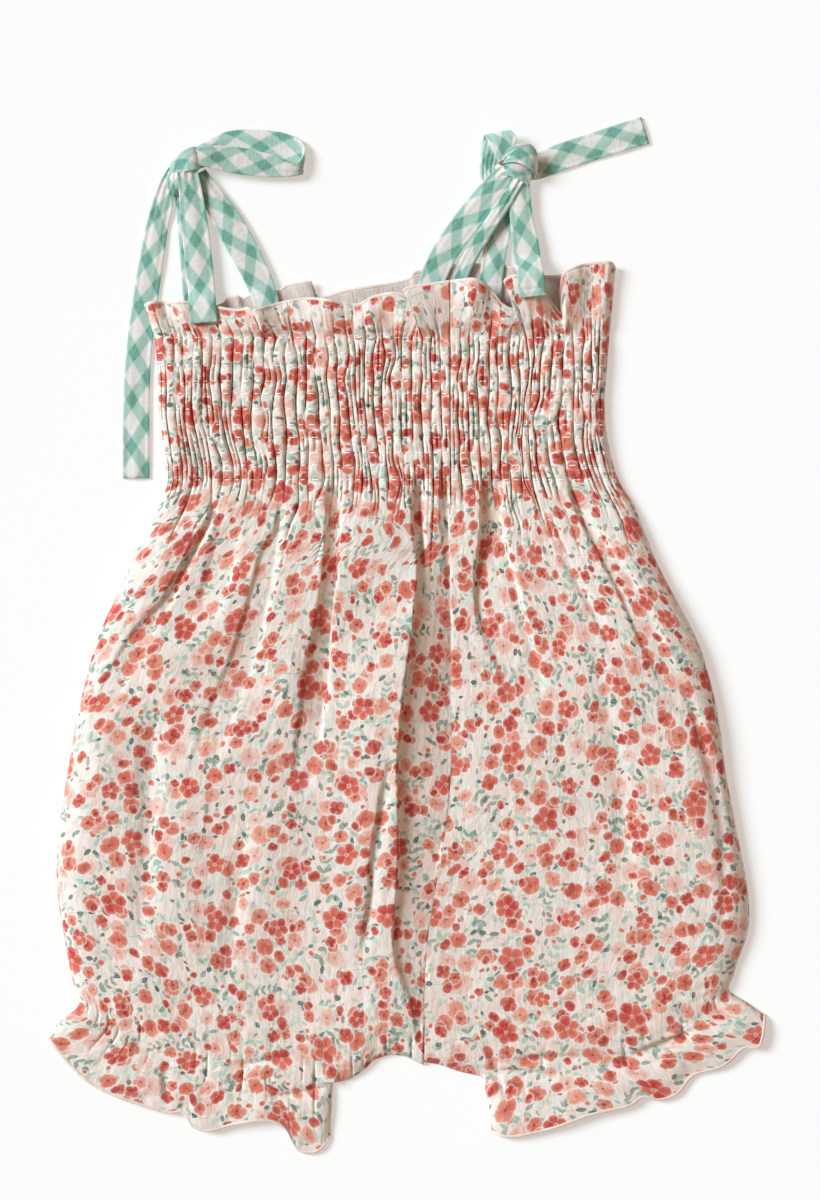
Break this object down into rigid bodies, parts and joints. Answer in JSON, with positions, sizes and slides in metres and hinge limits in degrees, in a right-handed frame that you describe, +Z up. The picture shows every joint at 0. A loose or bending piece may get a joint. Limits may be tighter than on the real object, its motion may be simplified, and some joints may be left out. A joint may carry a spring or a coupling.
{
  "type": "baby bubble romper laid flat",
  "caption": "Baby's sleeveless bubble romper laid flat: shirred chest with ruffled edges, full gathered body, ruffled short legs, and gingham shoulder ties knotted in half bows.",
  "frame": {"origin": "middle of the footprint, on the surface the garment lies on", "axes": "+Z up out of the surface; +Y up the garment, from the legs to the shoulder ties; +X to the right as the garment is seen face up"},
  "size_m": [0.3024, 0.4332, 0.0086],
  "materials": {
    "print_cloth": "matte printed cotton",
    "gingham_cloth": "matte woven cotton"
  },
  "bodies": {
    "root": {"front_left": "print_cloth", "front_right": "print_cloth", "back_left": "print_cloth", "back_right": "print_cloth", "tie_left_front": "gingham_cloth", "tie_left_back": "gingham_cloth", "tie_left_under": "gingham_cloth", "tie_left_tail": "gingham_cloth", "tie_left_loop": "gingham_cloth", "tie_left_knot": "gingham_cloth", "tie_right_front": "gingham_cloth", "tie_right_back": "gingham_cloth", "tie_right_twist": "gingham_cloth", "tie_right_under": "gingham_cloth", "tie_right_tail": "gingham_cloth", "tie_right_loop": "gingham_cloth", "tie_right_knot": "gingham_cloth"}
  },
  "joints": []
}
